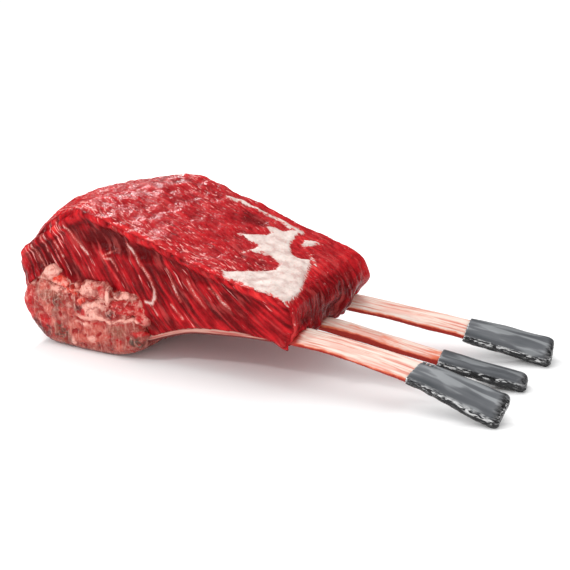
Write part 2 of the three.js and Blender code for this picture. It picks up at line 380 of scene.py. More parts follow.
def even_copy(node, name, cell, softening, knobs_on=()):
    """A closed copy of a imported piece, evenly meshed and softened, ready for shaping."""
    bpy.ops.object.select_all(action="DESELECT")
    piece = bpy.data.objects.new(name, frame["nodes"][node].data.copy())
    bpy.context.scene.collection.objects.link(piece)
    piece.data.materials.clear()
    balls = []
    for middle, reach in knobs_on:
        place = np.array(middle) * MM
        bpy.ops.mesh.primitive_ico_sphere_add(subdivisions=3, radius=MM, location=place)
        bpy.context.active_object.scale = reach
        balls.append(bpy.context.active_object)
    for part in (piece, *balls):
        part.select_set(True)
    bpy.context.view_layer.objects.active = piece
    if balls:
        bpy.ops.object.join()
    bpy.ops.object.mode_set(mode="EDIT")
    bpy.ops.mesh.select_all(action="SELECT")
    bpy.ops.mesh.remove_doubles(threshold=0.01 * MM)
    bpy.ops.mesh.normals_make_consistent(inside=False)
    bpy.ops.object.mode_set(mode="OBJECT")
    apply_modifier(piece, "REMESH", mode="VOXEL", voxel_size=cell * MM, use_smooth_shade=True)
    drop_specks(piece)
    apply_modifier(piece, "SMOOTH", factor=0.5, iterations=softening)
    return piece


def skin_of(piece):
    """The places of a piece's vertices in millimetres, and the directions they face."""
    count = len(piece.data.vertices)
    places = np.empty(count * 3, np.float32)
    facing = np.empty(count * 3, np.float32)
    piece.data.vertices.foreach_get("co", places)
    piece.data.vertices.foreach_get("normal", facing)
    return places.reshape(-1, 3).astype(float) / MM, facing.reshape(-1, 3).astype(float)


def move_skin(piece, places):
    """Puts the vertices at new places, none of them below the floor."""
    places[:, 2] = np.maximum(places[:, 2], 0)
    piece.data.vertices.foreach_set("co", (places * MM).astype(np.float32).ravel())
    piece.data.update()


def keep(piece, name, values):
    """Stores a number or a vector for each vertex, for the finish to read."""
    kind = "FLOAT" if values.ndim == 1 else "FLOAT_VECTOR"
    layer = piece.data.attributes.new(name, kind, "POINT")
    field = "value" if values.ndim == 1 else "vector"
    layer.data.foreach_set(field, values.astype(np.float32).ravel())


def keep_hollows(piece, rounds):
    """Stores how far each place lies below its surroundings, in millimetres, as hollow."""
    places, facing = skin_of(piece)
    count = len(places)
    ends = np.empty(len(piece.data.edges) * 2, np.int32)
    piece.data.edges.foreach_get("vertices", ends)
    one, other = ends[::2], ends[1::2]
    meeting = np.bincount(one, minlength=count) + np.bincount(other, minlength=count)
    eased = places.copy()
    for _ in range(rounds):
        for axis in range(3):
            total = np.bincount(one, eased[other, axis], count)
            total += np.bincount(other, eased[one, axis], count)
            eased[:, axis] = (eased[:, axis] + total / meeting) / 2
    keep(piece, "hollow", ((eased - places) * facing).sum(1))


def settle(piece, node, material):
    """Gives a finished piece its material and its place in the frame."""
    piece.data.materials.append(material)
    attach(piece, "root")
    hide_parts(node)


# ---- the flesh: meat and backbone share one skin ----
def fibre_spots(places, cut):
    """Where each place lies across, along and under the muscle fibres."""
    x, y, z = places.T
    lean_x, lean = np.array(LEAN, float).T
    table = np.arange(-260.0, 90.0, 2.0)
    angles = np.radians(np.interp(table, lean_x, lean))
    walked = np.cumsum(np.sin(angles)) * 2.0
    angle = np.radians(np.interp(x, lean_x, lean))
    across_cut = np.interp(x, table, walked) + (z - 70) * np.cos(angle)
    along_cut = x * np.cos(angle) - z * np.sin(angle)
    on_cut = np.stack([across_cut, along_cut, y], 1)
    reached, away = along_route(places[:, [0, 2]], ROUND)
    drift = (7 * lumps(places, 60, 51) + 2 * lumps(places, 24, 52)) * (1 - smooth_share(x, 40, 62))
    on_round = np.stack([y + 0.12 * reached + drift, 1.3 * reached, away], 1)
    return np.where(cut[:, None] > 0.5, on_cut, on_round)


def fat_depth(places, cut):
    """How far inside the fat, the seams and the membranes each place lies."""
    face = places[:, [0, 2]]
    plan = places[:, :2]
    on_cut = np.maximum.reduce([
        *(strand(face, line) for line in (LONG_SEAM, CURVED_SEAM, SEAM_BRANCH)),
        *(strand(face, line) for line in PALE_STREAKS),
    ]) - 0.5
    on_top = np.maximum.reduce([
        patch(plan, FAT_PATCH),
        *(strand(plan, line) for line in (BACK_STRIP, ISLAND, ISLAND_TAIL)),
    ])
    near_side = (cut > 0.5) & (places[:, 1] < 0)
    top_side = (cut <= 0.5) & (places[:, 2] > 78)
    return np.where(near_side, on_cut, np.where(top_side, on_top, OUTSIDE))


def shade_of(places, cut):
    """How dark or bright the flesh is, from -1 to 1, with painted shade at the ridge."""
    tone = np.where(cut > 0.5, -0.44, 0.12)
    for centre, reach, amount in SHADES:
        away = np.linalg.norm((places - centre) / np.array(reach, float), axis=1)
        tone = tone + amount * (1 - smooth_share(away, 0.45, 1.25))
    return tone


def paint_chine(places):
    """The tints and the rise of the lumps and patches round the backbone."""
    warp_x, warp_z = (
        3.4 * lumps(places, 11, 71 + axis) + 1.6 * lumps(places, 4, 75 + axis) for axis in (0, 1)
    )
    x = places[:, 0] + warp_x
    z = places[:, 2] + warp_z
    mottle = 0.5 + 0.5 * lumps(places, (13, 13, 11), 78)
    dabs = 0.5 + 0.5 * lumps(places, (12, 12, 7), 79)
    pearly = 0.6 * smooth_share(mottle, 0.3, 0.9)
    reddish = 0.6 * smooth_share(dabs, 0.55, 0.85)
    hidden = np.array(MEMBRANE) + (np.array(PEARL) - MEMBRANE) * pearly[:, None]
    hidden += (np.array(SCARLET) - hidden) * reddish[:, None]
    tint = np.tile(np.array(MEMBRANE), (len(places), 1))
    rise = np.zeros(len(places))
    for middle_x, middle_z, reach_x, reach_z, height, colour in CHINE_PATCHES:
        away = np.hypot((x - middle_x) / reach_x, (z - middle_z) / reach_z)
        share = 1 - smooth_share(away, 0.60, 1.14)
        tint += (np.array(colour) - tint) * share[:, None]
        rise += 0.6 * height * np.sqrt(np.clip(1.1 - away * away, 0, 1))
    shown = 1 - smooth_share(places[:, 1], NEAR_FACE + 4, NEAR_FACE + 16)
    return hidden + (tint - hidden) * shown[:, None], rise * shown


def ridge_edge(places):
    """1 on the ridge between the top and the near cut face, 0 away from it."""
    away = along_route(places[:, [0, 2]], RIDGE)[1]
    behind = smooth_share(places[:, 1], NEAR_FACE + 4, NEAR_FACE + 9)
    return (1 - smooth_share(away, 2.0, 6.0)) * (1 - behind)


def trimming(places):
    """Moves that trim the end back round the bones and tuck in the foot of the left end."""
    x, y, z = places.T
    by_far_bone = smooth_share(y, 14, 32) * (1 - smooth_share(z, 44, 72))
    by_middle_bone = (1 - smooth_share(np.abs(y + 21), 10, 22)) * (1 - smooth_share(z, 54, 68))
    trim = (13 * by_far_bone + 7 * by_middle_bone) * smooth_share(x, 0, 62)
    uneven = lumps(places, (30, 12, 14), 25) * (1 - smooth_share(z, 56, 70))
    trim += 3 * smooth_share(x, 40, 62) * uneven
    tuck = 5.0 * (1 - smooth_share(x, -236, -206)) * (1 - smooth_share(z, 62, 84))
    return np.stack([tuck - trim, 0 * x, 0.17 * trim], 1)


def flesh_height(places, fibre, cut, end, at_left, fat):
    """How far the muscle's lumps, bundles and grain and the fat on it stand out."""
    bundle = lumps(fibre, (5.0, 60, 26), 11)
    strip = lumps(fibre, (12, 90, 40), 12)
    crown = smooth_share(places[:, 2], 112, 132)
    coarse = 1.3 * lumps(places, 34, 13) + (0.7 + 0.9 * crown) * lumps(places, 14, 14)
    on_cut = (0.7 + 0.6 * at_left) * bundle + 0.9 * strip + 0.35 * lumps(places, 5, 15)
    speckle_and_glint_share = 0.45 * lumps(fibre, (3.6, 13, 9), 16) + 0.35 * lumps(places, 6, 17)
    muscle = np.where(cut > 0.5, on_cut, speckle_and_glint_share) * (1 - 0.7 * smooth_share(fat, -0.5, 1))
    raised = smooth_share(fat, -0.8, 1.6) * (1.2 + 0.8 * lumps(places, 9, 26))
    on_end = end * (0.5 * lumps(fibre, (11, 40, 20), 18) - 0.1 * bundle)
    return coarse + muscle + raised + on_end


def hollow_under_ridge(places):
    """How deep the near cut face is hollowed under its ridge."""
    x, _, z = places.T
    depth = np.zeros(len(places))
    for centre, reach, deepest in HOLLOWS:
        away = np.hypot((x - centre[0]) / reach[0], (z - centre[1]) / reach[1])
        depth += deepest * (1 - smooth_share(away, 0.1, 1.1))
    return depth


def exit_moves(places, end, bone_gap):
    """Moves that raise collars round the bones and draw a tag of flesh down by the near one."""
    moves = np.zeros_like(places)
    collar = end * (1 - smooth_share(bone_gap, 1.0, 8.0)) * (1 - smooth_share(places[:, 2], 56, 66))
    away = np.linalg.norm((places - (52, -86, 46)) / np.array((9, 8, 9), float), axis=1)
    tag = 1 - smooth_share(away, 0.2, 1.2)
    moves[:, 0] = collar * (2.2 + 2.0 * lumps(places, 7, 24)) + 3.0 * tag
    moves[:, 2] = -7.0 * tag
    return moves


def marble_and_glint_of(places, facing, cut, end, at_left, edge):
    """How much pale marbling there is, with painted glints among it: most on the left shoulder and
    along the ridge.
    """
    x, y, z = places.T
    ridge_gap = along_route(places[:, [0, 2]], RIDGE)[1]
    beside_ridge = (1 - smooth_share(ridge_gap, 3, 14)) * (1 - smooth_share(y, -84, -60))
    marble_and_glint = np.where(cut > 0.5, 0.22 + 0.22 * at_left, 0.50)
    shoulder = 1 - smooth_share(x, -190, -130)
    # painted glints: more pale strokes on the left shoulder and beside the ridge
    marble_and_glint += (1 - cut) * (0.22 * shoulder + 0.28 * beside_ridge * (1 - edge))
    marble_and_glint -= (1 - cut) * 0.25 * smooth_share(x, -90, -10) * smooth_share(y, -60, 0)
    marble_and_glint -= 0.40 * smooth_share(-facing[:, 0], 0.5, 0.9) * (1 - smooth_share(z, 104, 122))
    return np.where(end > 0.5, 0.12, marble_and_glint)


def make_meat(material):
    """The block of beef: fibres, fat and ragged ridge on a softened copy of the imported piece."""
    piece = even_copy("meat", "meat_body", MEAT_CELL, 5)
    places, facing = skin_of(piece)
    x, y, z = places.T
    face = places[:, [0, 2]]
    cut = smooth_share(np.abs(facing[:, 1]), 0.55, 0.75)
    near = np.where(y < 0, cut, 0)
    end = smooth_share(facing[:, 0], 0.4, 0.8)
    at_left = 1 - smooth_share(x, -190, -150)
    fibre = fibre_spots(places, cut)
    fat = fat_depth(places, cut)
    bone_gap = gap_to(places, RIB_NODES)
    chine_gap = gap_to(places, ["chine_bone"])
    free = smooth_share(np.minimum(bone_gap, chine_gap), 0.8, 5.0)

    height = flesh_height(places, fibre, cut, end, at_left, fat)
    moves = trimming(places) + facing * (height * free)[:, None]
    moves[:, 1] += near * hollow_under_ridge(places) * free
    moves += exit_moves(places, end, bone_gap)

    # the ridge is an edge of teeth, beads and nodules
    edge = ridge_edge(places)
    teeth = 0.5 + 0.5 * lumps(np.stack([fibre[:, 0], 0 * x, 0 * x], 1), (4.4, 1, 1), 19)
    nodules = lumps(places, (9, 14, 7), 20)
    beads = knobs(places, (8, 12, 7), 27)
    moves[:, 1] -= edge * (0.6 + 2.2 * teeth + 2.2 * beads + 1.2 * nodules)
    moves[:, 2] += edge * (1.0 * teeth + 2.0 * beads + 1.2 * nodules - 0.8)

    # the backbone's fat and membranes run on over the near cut face
    tint, rise = paint_chine(places)
    chine_fat = np.where(near > 0.3, patch(face, CHINE_FAT), OUTSIDE)
    swell = (1 - smooth_share(chine_gap, 1, 17)) * smooth_share(z, 40, 52)
    moves[:, 1] -= near * (6.0 * swell + rise * smooth_share(chine_fat, -1, 2))
    move_skin(piece, places + moves)
    keep_hollows(piece, 14)

    # painted highlight: the ridge is brighter on its beads and teeth, with painted shade between
    # them; pale strokes between the beads are painted glints
    tone = shade_of(places, cut) + edge * (0.70 * beads + 0.30 * teeth - 0.30)
    marble_and_glint = marble_and_glint_of(places, facing, cut, end, at_left, edge) + 0.25 * edge * (1 - beads)
    keep(piece, "fibre", fibre * MM)
    keep(piece, "fat", fat)
    keep(piece, "tone", np.minimum(tone, BRIGHTEST))
    keep(piece, "marble_and_glint", marble_and_glint)
    keep(piece, "cut", cut)
    keep(piece, "tint", tint)
    keep(piece, "tinted", chine_fat)
    settle(piece, "meat", material)


def make_backbone(material):
    """The rest of the backbone, with rounded lumps of fat, folds and tissue on it."""
    piece = even_copy("chine_bone", "backbone", CHINE_CELL, 4, CHINE_LUMPS)
    places, facing = skin_of(piece)
    tint, rise = paint_chine(places)
    free = smooth_share(gap_to(places, RIB_NODES), 0.8, 5.0)
    above_floor = smooth_share(places[:, 2], 0, 14)
    folds = 1 - 2 * np.abs(lumps(places, (8, 12, 19), 28))
    tissue = 1 - 2 * np.abs(lumps(places, (6, 7, 6), 29))
    knobby = 0.8 * folds + 0.5 * tissue + 0.9 * knobs(places, (13, 12, 9), 21) - 0.8
    height = rise + knobby * above_floor + 1.0 * lumps(places, 22, 23)
    low = 1 - smooth_share(places[:, 2], 30, 44)
    tuck = 3.5 * (1 - smooth_share(places[:, 0], -240, -205)) * low
    moves = facing * (height * free)[:, None]
    moves[:, 0] += tuck
    move_skin(piece, places + moves)
    keep_hollows(piece, 14)
    keep(piece, "tint", tint)
    settle(piece, "chine_bone", material)


# ---- bones and sleeves ----
def middle_line(places, step=6.0):
    """The middle of a long piece at each vertex's own x."""
    x = places[:, 0]
    stations = np.arange(x.min() + step / 2, x.max(), step)
    middles = []
    for station in stations:
        ring = places[np.abs(x - station) < step]
        middles.append((ring.min(0) + ring.max(0)) / 2)
    middles = np.array(middles)
    return np.stack([np.interp(x, stations, middles[:, axis]) for axis in (1, 2)], 1)


def make_bone(rib, seed, leaves_meat, painted_light, material):
    """One scraped rib bone with its long grain, darker red where it leaves the meat."""
    piece = even_copy(f"rib_{rib}", f"bone_{rib}", BONE_CELL, 4)
    places, facing = skin_of(piece)
    middle = middle_line(places)
    aside = places[:, 1] - middle[:, 0]
    above = places[:, 2] - middle[:, 1]
    grain = np.stack([aside, places[:, 0], above], 1)
    sleeve_gap = gap_to(places, [f"wrap_{rib}"])
    meat_gap = gap_to(places, ["meat", "chine_bone"])
    free = smooth_share(np.minimum(sleeve_gap, meat_gap), 0.6, 4.0)
    height = 0.45 * lumps(grain, (6, 55, 6), seed) + 0.5 * lumps(grain, (14, 30, 9), seed + 1) - 0.1
    height += 0.16 * lumps(grain, (2.4, 9, 2.4), seed + 2)
    move_skin(piece, places + facing * (height * free)[:, None])
    keep(piece, "fibre", grain * MM)
    sawn = 1 - smooth_share(places[:, 0], leaves_meat - 32, leaves_meat - 8)
    # facing up, plus the rib's painted light; the finish reddens and darkens the side facing down
    # by it, partly as painted shade
    keep(piece, "facing_up_and_painted_light", facing[:, 2] + 0.25 * facing[:, 1] + painted_light)
    keep(piece, "sawn", sawn)
    exit_share = smooth_share(places[:, 0], leaves_meat - 14, leaves_meat - 4)
    beyond = smooth_share(places[:, 0], leaves_meat, leaves_meat + 16)
    keep(piece, "at_meat", exit_share * (1 - beyond))
    settle(piece, f"rib_{rib}", material)


def make_sleeve(rib, seed, material):
    """One dark film sleeve: slack on top, creased along its near side, crumpled at its end."""
    piece = even_copy(f"wrap_{rib}", f"sleeve_{rib}", SLEEVE_CELL, 3)
    places, facing = skin_of(piece)
    middle = middle_line(places)
    grain = np.stack([places[:, 1] - middle[:, 0], places[:, 0], places[:, 2] - middle[:, 1]], 1)
    side = 1 - smooth_share(facing[:, 2], 0.30, 0.62)
    near_side = side * smooth_share(-facing[:, 1], -0.1, 0.3)
    end = places[:, 0].max()
    closed = smooth_share(places[:, 0], end - 9, end - 3)
    creases = 1 - 2 * np.abs(lumps(grain, (4.5, 15, 3.4), seed))
    fine = 1 - 2 * np.abs(lumps(grain, (3.4, 6.5, 2.8), seed + 1))
    slack = 0.5 * lumps(grain, (16, 26, 12), seed + 2) + 0.35 * lumps(grain, (7, 30, 7), seed + 3)
    crumpled = near_side * (0.6 * creases + 0.25 * fine) + closed * (0.3 * creases + 0.4 * fine)
    height = 0.4 + slack + crumpled
    free = smooth_share(gap_to(places, [f"rib_{rib}"]), 0.4, 1.2)
    move_skin(piece, places + facing * (height * free)[:, None])
    keep_hollows(piece, 8)
    keep(piece, "fibre", grain * MM)
    keep(piece, "crinkled", near_side)
    keep(piece, "closed", closed)
    keep(piece, "tilt", facing[:, 2])
    settle(piece, f"wrap_{rib}", material)


# ---- finishes ----
def new_finish(name):
    """An empty material with its principled shader."""
    material = bpy.data.materials.new(name)
    material.use_nodes = True
    tree = material.node_tree
    return material, tree, tree.nodes["Principled BSDF"]


def put(tree, kind, inputs=None, **settings):
    """Adds a node, sets it, and fills its inputs with numbers or with other nodes' outputs."""
    node = tree.nodes.new(kind)
    for setting, value in settings.items():
        setattr(node, setting, value)
    for socket, value in (inputs or {}).items():
        if isinstance(value, bpy.types.NodeSocket):
            tree.links.new(value, node.inputs[socket])
        else:
            node.inputs[socket].default_value = value
    return node


def stored(tree, name, output="Fac"):
    """Reads what was kept for each vertex."""
    return put(tree, "ShaderNodeAttribute", attribute_name=name).outputs[output]


def stretched(tree, vector, spacing):
    """A vector measured in lumps of this spacing, in millimetres for each axis."""
    scale = tuple(1 / (size * MM) for size in spacing)
    return put(tree, "ShaderNodeMapping", {"Vector": vector, "Scale": scale}).outputs[0]


def noise(tree, vector, spacing, detail=2.0, roughness=0.5, distortion=0.0):
    """Cloudy noise from 0 to 1 whose lumps have this spacing."""
    where = stretched(tree, vector, spacing)
    return put(tree, "ShaderNodeTexNoise", {
        "Vector": where, "Scale": 1.0, "Detail": detail, "Roughness": roughness,
        "Distortion": distortion,
    }).outputs[0]


def calc(tree, operation, first, second=0.0, third=0.0):
    """One step of arithmetic in the shader."""
    inputs = {0: first, 1: second, 2: third}
    return put(tree, "ShaderNodeMath", inputs, operation=operation).outputs[0]


def between(tree, value, low, high):
    """0 below low, 1 above high, smooth between."""
    inputs = {"Value": value, "From Min": low, "From Max": high}
    return put(tree, "ShaderNodeMapRange", inputs, interpolation_type="SMOOTHSTEP").outputs[0]


def mixed(tree, share, first, second):
    """One colour turning into another as the share goes from 0 to 1."""
    inputs = {0: share, 6: first, 7: second}
    return put(tree, "ShaderNodeMix", inputs, data_type="RGBA").outputs[2]


def scale_of(tree, value, stops):
    """Colours along a scale: each stop is its place and its colour."""
    node = put(tree, "ShaderNodeValToRGB", {0: value})
    ramp = node.color_ramp
    for index, (place, colour) in enumerate(stops):
        element = ramp.elements[index] if index < 2 else ramp.elements.new(place)
        element.position = place
        element.color = (*colour, 1)
    return node.outputs[0]


def rgb(red, green, blue):
    """A solid colour with its alpha."""
    return (red, green, blue, 1)


def painted_shade_in_hollows(tree, colour, low, high, deep):
    """Paints shade: turns a colour into a darker one in the hollows of the shaped surface."""
    share = between(tree, stored(tree, "hollow"), low, high)
    return mixed(tree, share, colour, deep)


def flesh_colours(tree, fibre, where):
    """The red of the muscle with its pale marbling, partly painted glints, and painted shade in its
    hollows; gives the colour and the relief.
    """
    tone = stored(tree, "tone")
    cut = stored(tree, "cut")
    hollow = stored(tree, "hollow")
    on_top = noise(tree, fibre, (2.6, 13, 8), 2.0, 0.5)
    on_cut = noise(tree, fibre, (3.4, 42, 14), 2.0, 0.5)
    fine = put(tree, "ShaderNodeMix", {0: cut, 2: on_top, 3: on_cut}).outputs[0]
    cloud = noise(tree, where, (22, 22, 22), 3.0, 0.5)
    uneven = calc(tree, "ADD", fine, calc(tree, "MULTIPLY", cloud, 0.6))
    contrast = calc(tree, "MULTIPLY_ADD", cut, 0.55, 0.75)
    uneven = calc(tree, "MULTIPLY", calc(tree, "SUBTRACT", uneven, 0.8), contrast)
    light = calc(tree, "ADD", calc(tree, "MULTIPLY_ADD", tone, 0.34, 0.52), uneven)
    # painted shade: darker in the hollows of the shaped surface, a little painted light on its
    # bumps
    light = calc(tree, "MULTIPLY_ADD", calc(tree, "MAXIMUM", hollow, -0.5), -0.22, light)
    muscle = scale_of(tree, light, [
        (0.10, (0.085, 0.0010, 0.002)), (0.32, (0.165, 0.002, 0.004)), (0.54, (0.33, 0.006, 0.010)),
        (0.78, (0.52, 0.014, 0.018)), (1.0, (0.66, 0.035, 0.030)),
    ])
    wash = noise(tree, fibre, (7, 34, 16), 3.0, 0.6)
    washed = calc(tree, "MULTIPLY", between(tree, wash, 0.52, 0.68), 0.24)
    muscle = mixed(tree, washed, muscle, rgb(0.66, 0.11, 0.10))
    strokes = noise(tree, fibre, (1.5, 8.5, 5), 2.0, 0.5, 0.4)
    streaks = noise(tree, fibre, (2.0, 28, 9), 2.0, 0.5, 0.25)
    threads = put(tree, "ShaderNodeMix", {0: cut, 2: strokes, 3: streaks}).outputs[0]
    # the pale strokes are marbling, with painted glints among them on the top and along the ridge
    limit = calc(tree, "MULTIPLY_ADD", stored(tree, "marble_and_glint"), -0.20, 0.71)
    limit = calc(tree, "MULTIPLY_ADD", cloud, -0.16, calc(tree, "ADD", limit, 0.08))
    marbling = between(tree, calc(tree, "SUBTRACT", threads, limit), 0.0, 0.07)
    colour = mixed(tree, calc(tree, "MULTIPLY", marbling, 0.80), muscle, rgb(0.84, 0.33, 0.30))
    grit = noise(tree, where, (4, 4, 4), 2.0)
    relief = calc(tree, "MULTIPLY_ADD", fine, 1.0, calc(tree, "MULTIPLY", marbling, 0.30))
    return colour, calc(tree, "MULTIPLY_ADD", grit, 0.8, relief)


def fat_colours(tree, where):
    """Creamy fat with pinker and greyer clouds; gives the colour and the relief."""
    cloud = noise(tree, where, (10, 10, 10), 3.0, 0.6)
    spots = noise(tree, where, (2.4, 2.4, 2.4), 2.0, 0.6)
    colour = scale_of(tree, cloud, [
        (0.36, (0.68, 0.575, 0.53)), (0.50, (0.60, 0.49, 0.45)), (0.62, (0.50, 0.36, 0.33)),
    ])
    colour = mixed(tree, calc(tree, "MULTIPLY", between(tree, spots, 0.58, 0.74), 0.6), colour,
                   rgb(0.60, 0.30, 0.26))
    return colour, calc(tree, "MULTIPLY_ADD", cloud, 0.9, calc(tree, "MULTIPLY", spots, 0.4))


def tinted_colours(tree, where):
    """The stored tints of membrane and sawn bone, veined, with painted highlights and glints on the
    lumps and painted shade in the hollows; gives the colour and the relief.
    """
    soft = noise(tree, where, (13, 13, 10), 3.0, 0.55, 0.8)
    vein = noise(tree, where, (9, 9, 3.6), 2.0, 0.5, 1.4)
    hanging = noise(tree, where, (3.4, 3.4, 17), 2.0, 0.5, 0.6)
    tint = stored(tree, "tint", "Color")
    colour = mixed(tree, calc(tree, "MULTIPLY", between(tree, soft, 0.52, 0.68), 0.34), tint,
                   rgb(0.62, 0.25, 0.20))
    colour = mixed(tree, calc(tree, "MULTIPLY", between(tree, soft, 0.48, 0.36), 0.75), colour,
                   rgb(0.22, 0.010, 0.009))
    colour = mixed(tree, calc(tree, "MULTIPLY", between(tree, vein, 0.58, 0.66), 0.50), colour,
                   rgb(0.40, 0.014, 0.012))
    colour = mixed(tree, calc(tree, "MULTIPLY", between(tree, hanging, 0.54, 0.68), 0.34), colour,
                   rgb(0.70, 0.34, 0.27))
    height = put(tree, "ShaderNodeSeparateXYZ", {0: where}).outputs[2]
    # the pale speckles are painted wet glints, the dark red ones the tissue's own
    speckle_and_glint_share = calc(tree, "MULTIPLY_ADD", between(tree, height, 34 * MM, 50 * MM), 0.22, 0.13)
    grain = noise(tree, where, (4.6, 4.6, 5.2), 3.0, 0.6, 0.7)
    colour = mixed(tree, calc(tree, "MULTIPLY", between(tree, grain, 0.52, 0.62), speckle_and_glint_share), colour,
                   rgb(0.86, 0.48, 0.40))
    colour = mixed(tree, calc(tree, "MULTIPLY", between(tree, grain, 0.48, 0.39), speckle_and_glint_share), colour,
                   rgb(0.24, 0.008, 0.007))
    hollow = stored(tree, "hollow")
    # painted highlight: paler on the proud tops of the lumps
    proud_highlight = between(tree, hollow, -0.3, -1.3)
    proud_highlight = calc(tree, "MULTIPLY", proud_highlight, between(tree, soft, 0.36, 0.58))
    colour = mixed(tree, calc(tree, "MULTIPLY", proud_highlight, 0.30), colour, rgb(0.86, 0.50, 0.42))
    # painted shade in the crevices: deep red, near black in the deepest
    colour = painted_shade_in_hollows(tree, colour, 0.04, 0.50, rgb(0.28, 0.009, 0.008))
    colour = painted_shade_in_hollows(tree, colour, 0.42, 1.00, rgb(0.075, 0.003, 0.004))
    relief = calc(tree, "MULTIPLY_ADD", grain, 1.2, calc(tree, "MULTIPLY", hanging, 0.6))
    return colour, calc(tree, "MULTIPLY_ADD", soft, 1.0, relief)


def wet(tree, shader, relief, depth):
    """Gives the shader its relief, in millimetres."""
    bump = put(tree, "ShaderNodeBump", {"Height": relief, "Distance": depth * MM})
    tree.links.new(bump.outputs[0], shader.inputs["Normal"])


def glaze(shader, specular, coat, coat_roughness):
    """How strongly the surface and its wet coat shine."""
    shader.inputs["Specular IOR Level"].default_value = specular
    shader.inputs["Coat Weight"].default_value = coat
    shader.inputs["Coat Roughness"].default_value = coat_roughness


def meat_finish():
    """Raw beef: muscle, its fat and seams, and the membranes at the backbone."""
    material, tree, shader = new_finish("raw_beef")
    where = put(tree, "ShaderNodeTexCoord").outputs["Object"]
    fibre = stored(tree, "fibre", "Vector")
    flesh, relief = flesh_colours(tree, fibre, where)
    fat, fat_relief = fat_colours(tree, where)
    chine, chine_relief = tinted_colours(tree, where)
    ragged = calc(tree, "SUBTRACT", noise(tree, fibre, (2.2, 8, 5), 3.0, 0.65), 0.5)
    cut = stored(tree, "cut")
    raggedness = calc(tree, "MULTIPLY_ADD", cut, -7.0, 11.0)
    depth = calc(tree, "ADD", calc(tree, "MULTIPLY", ragged, raggedness), stored(tree, "fat"))
    fullness = calc(tree, "MULTIPLY_ADD", cut, -0.22, 1.0)
    is_fat = calc(tree, "MULTIPLY", between(tree, depth, -0.9, 0.9), fullness)
    chine_depth = calc(tree, "MULTIPLY_ADD", ragged, 7.0, stored(tree, "tinted"))
    is_chine = between(tree, chine_depth, -0.6, 1.0)
    film = calc(tree, "MULTIPLY", between(tree, depth, -2.2, 0.4), 0.40)
    flesh = mixed(tree, film, flesh, rgb(0.78, 0.16, 0.13))
    flesh = mixed(tree, is_chine, flesh, chine)
    tree.links.new(mixed(tree, is_fat, flesh, fat), shader.inputs["Base Color"])
    wetness = noise(tree, where, (7, 7, 7), 3.0, 0.6)
    rough = calc(tree, "MULTIPLY_ADD", wetness, 0.50, 0.02)
    tree.links.new(calc(tree, "MULTIPLY_ADD", is_fat, 0.10, rough), shader.inputs["Roughness"])
    glaze(shader, 0.07, 0.0, 0.1)
    shader.inputs["Subsurface Weight"].default_value = 0.05
    shader.inputs["Subsurface Radius"].default_value = (1.0, 0.25, 0.18)
    shader.inputs["Subsurface Scale"].default_value = 1.5 * MM
    height = put(tree, "ShaderNodeMix", {0: is_chine, 2: relief, 3: chine_relief}).outputs[0]
    height = put(tree, "ShaderNodeMix", {0: is_fat, 2: height, 3: fat_relief}).outputs[0]
    wet(tree, shader, height, 1.1)
    return material


def backbone_finish():
    """Membrane, fat and sawn bone, moist."""
    material, tree, shader = new_finish("backbone_and_fat")
    where = put(tree, "ShaderNodeTexCoord").outputs["Object"]
    colour, relief = tinted_colours(tree, where)
    tree.links.new(colour, shader.inputs["Base Color"])
    wetness = noise(tree, where, (6, 6, 6), 3.0, 0.6)
    tree.links.new(calc(tree, "MULTIPLY_ADD", wetness, 0.50, 0.00), shader.inputs["Roughness"])
    glaze(shader, 0.20, 0.0, 0.1)
    wet(tree, shader, relief, 1.1)
    return material


def bone_finish():
    """Scraped bone: cream with pink streaks above, red below, partly its own red and partly painted
    shade, sawn at its hidden end.
    """
    material, tree, shader = new_finish("scraped_bone")
    fibre = stored(tree, "fibre", "Vector")
    along = noise(tree, fibre, (2.0, 46, 2.0), 3.0, 0.6)
    wide = noise(tree, fibre, (6, 40, 6), 3.0)
    patchy = noise(tree, fibre, (9, 22, 7), 3.0, 0.6)
    streaks = scale_of(tree, along, [
        (0.36, (0.74, 0.62, 0.55)), (0.48, (0.71, 0.56, 0.48)), (0.55, (0.67, 0.38, 0.31)),
        (0.66, (0.58, 0.19, 0.145)),
    ])
    pinker = calc(tree, "MULTIPLY", between(tree, wide, 0.52, 0.66), 0.55)
    streaks = mixed(tree, pinker, streaks, rgb(0.72, 0.34, 0.28))
    facing_up_and_painted_light = stored(tree, "facing_up_and_painted_light")
    edge = calc(tree, "ADD", calc(tree, "SUBTRACT", wide, 0.5), facing_up_and_painted_light)
    edge = calc(tree, "MULTIPLY_ADD", calc(tree, "SUBTRACT", patchy, 0.5), 1.3, edge)
    # the orange and dark red of the side facing down are partly the bone's own red, partly painted
    # shade
    warm = mixed(tree, between(tree, edge, 0.86, 0.50), streaks, rgb(0.66, 0.15, 0.075))
    dark = mixed(tree, between(tree, edge, 0.55, 0.20), warm, rgb(0.30, 0.018, 0.010))
    sawn_side = mixed(tree, between(tree, along, 0.42, 0.60), rgb(0.50, 0.26, 0.21),
                      rgb(0.38, 0.08, 0.065))
    # painted shade: the sawn side turns dark red where it faces down
    below = between(tree, facing_up_and_painted_light, 0.42, 0.12)
    sawn_side_and_shade = mixed(tree, below, sawn_side, rgb(0.13, 0.014, 0.012))
    colour = mixed(tree, stored(tree, "sawn"), dark, sawn_side_and_shade)
    collar = calc(tree, "MULTIPLY_ADD", along, 0.7, stored(tree, "at_meat"))
    colour = mixed(tree, between(tree, collar, 0.66, 1.20), colour, rgb(0.34, 0.025, 0.018))
    tree.links.new(colour, shader.inputs["Base Color"])
    tree.links.new(calc(tree, "MULTIPLY_ADD", wide, 0.3, 0.3), shader.inputs["Roughness"])
    glaze(shader, 0.2, 0.0, 0.2)
    wet(tree, shader, along, 0.6)
    return material


